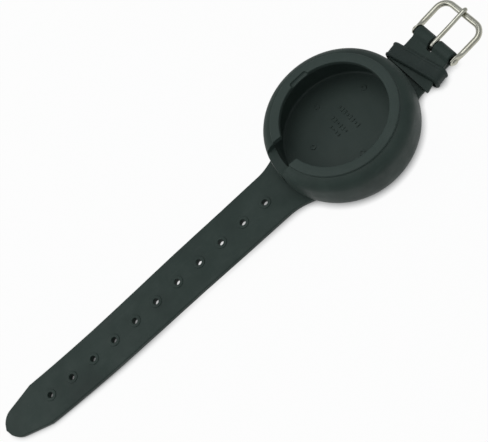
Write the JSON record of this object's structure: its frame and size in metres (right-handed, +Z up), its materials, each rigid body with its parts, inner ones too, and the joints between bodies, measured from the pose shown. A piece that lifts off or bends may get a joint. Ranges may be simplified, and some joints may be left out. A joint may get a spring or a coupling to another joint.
{
  "type": "wrist instrument strap",
  "caption": "Moulded rubber wrist strap with a round lipped cup for a wrist instrument, a long strap with a row of holes, a short folded strap, a keeper loop and a wire prong buckle.",
  "frame": {"origin": "on the cup's axis at its flat underside", "axes": "+Z up out of the cup's mouth, +X along the strap towards the buckle"},
  "size_m": [0.2989, 0.0736, 0.023],
  "materials": {
    "rubber": "matt moulded",
    "keeper_rubber": "matt moulded",
    "bright_metal": "bright nickel, lightly worn"
  },
  "bodies": {
    "cup_body": {"cup": "rubber"},
    "tail_1_body": {"tail_1": "rubber"},
    "tail_2_body": {"tail_2": "rubber"},
    "tail_3_body": {"tail_3": "rubber"},
    "tail_4_body": {"tail_4": "rubber"},
    "tail_5_body": {"tail_5": "rubber"},
    "tail_6_body": {"tail_6": "rubber"},
    "short_strap_body": {"short_strap": "rubber"},
    "keeper_body": {"keeper": "keeper_rubber"},
    "buckle_body": {"buckle_frame": "bright_metal", "buckle_bar": "bright_metal"},
    "prong_body": {"buckle_prong": "bright_metal"}
  },
  "joints": [
    {"name": "tail_bend_1", "type": "hinge", "parent": "cup_body", "child": "tail_1_body", "pos_m": [-0.04345, 0, 0.002], "axis": [0, -1, 0], "range_deg": [-3, 38], "stiffness_Nm_per_rad": 0.02},
    {"name": "tail_bend_2", "type": "hinge", "parent": "tail_1_body", "child": "tail_2_body", "pos_m": [-0.07165, 0, 0.003], "axis": [0, -1, 0], "range_deg": [-3, 38], "stiffness_Nm_per_rad": 0.02},
    {"name": "tail_bend_3", "type": "hinge", "parent": "tail_2_body", "child": "tail_3_body", "pos_m": [-0.09985, 0, 0.0034], "axis": [0, -1, 0], "range_deg": [-3, 38], "stiffness_Nm_per_rad": 0.02},
    {"name": "tail_bend_4", "type": "hinge", "parent": "tail_3_body", "child": "tail_4_body", "pos_m": [-0.12805, 0, 0.0024], "axis": [0, -1, 0], "range_deg": [-3, 38], "stiffness_Nm_per_rad": 0.02},
    {"name": "tail_bend_5", "type": "hinge", "parent": "tail_4_body", "child": "tail_5_body", "pos_m": [-0.15625, 0, 0.0008], "axis": [0, -1, 0], "range_deg": [-3, 38], "stiffness_Nm_per_rad": 0.02},
    {"name": "tail_bend_6", "type": "hinge", "parent": "tail_5_body", "child": "tail_6_body", "pos_m": [-0.18445, 0, 0.0002], "axis": [0, -1, 0], "range_deg": [-3, 38], "stiffness_Nm_per_rad": 0.02},
    {"name": "short_strap_bend", "type": "hinge", "parent": "cup_body", "child": "short_strap_body", "pos_m": [0.0376, 0, 0.002], "axis": [0, 1, 0], "range_deg": [-3, 45], "stiffness_Nm_per_rad": 0.03},
    {"name": "keeper_slide", "type": "slide", "parent": "short_strap_body", "child": "keeper_body", "axis": [1, 0, 0], "range_m": [0, 0.001]},
    {"name": "buckle_swing", "type": "hinge", "parent": "short_strap_body", "child": "buckle_body", "pos_m": [0.057, 0, 0.0054], "axis": [0, -1, 0], "range_deg": [-19, 40], "stiffness_Nm_per_rad": 0.01},
    {"name": "prong_swing", "type": "hinge", "parent": "buckle_body", "child": "prong_body", "pos_m": [0.057, 0, 0.0054], "axis": [0, -1, 0], "range_deg": [0, 60]}
  ]
}
